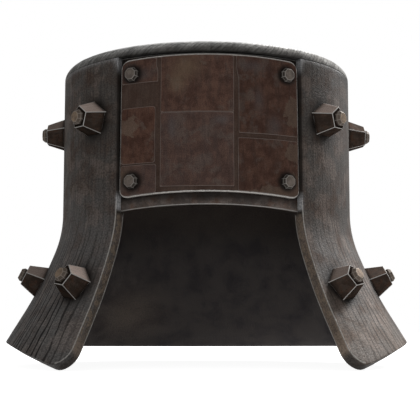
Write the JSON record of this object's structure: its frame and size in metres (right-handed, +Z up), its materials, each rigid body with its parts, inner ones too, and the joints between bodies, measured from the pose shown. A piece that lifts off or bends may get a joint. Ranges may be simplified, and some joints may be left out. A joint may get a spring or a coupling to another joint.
{
  "type": "executioner helmet",
  "caption": "Open-faced iron helmet: thick barrel with a flared skirt, flat crown with a rounded rim, riveted brow plate and bolted five-sided studs.",
  "frame": {"origin": "on the barrel's axis, level with the inner edge of the hem at the back", "axes": "+Z up along the barrel's axis, -Y out through the face opening, +X to the right as seen from the front"},
  "size_m": [0.3228, 0.2965, 0.2407],
  "materials": {
    "iron": "dark, brushed and worn bright along the edges",
    "band_iron": "brown, stained and worn",
    "rusted_iron": "red-brown rust with worn edges",
    "stud_iron": "dark brown with worn edges",
    "rivet_iron": "worn grey",
    "leather": "dark, rubbed smooth",
    "quilted_cloth": "coarse quilted linen"
  },
  "bodies": {
    "root": {"shell": "iron", "crown_plate": "iron", "crown_rivets": "iron", "brow_band": "band_iron", "brow_plate": "rusted_iron", "brow_rivets": "rivet_iron", "brow_washers": "stud_iron", "upper_stud_front_left": "stud_iron", "upper_stud_front_right": "stud_iron", "upper_stud_side_left": "stud_iron", "upper_stud_side_right": "stud_iron", "lower_stud_front_left": "stud_iron", "lower_stud_front_right": "stud_iron", "lower_stud_side_left": "stud_iron", "lower_stud_side_right": "stud_iron", "stud_rivets": "rivet_iron", "stud_washers": "stud_iron", "lining_band": "leather", "lining_rivets": "rivet_iron", "lining_washers": "stud_iron", "crown_lining": "quilted_cloth"}
  },
  "joints": []
}
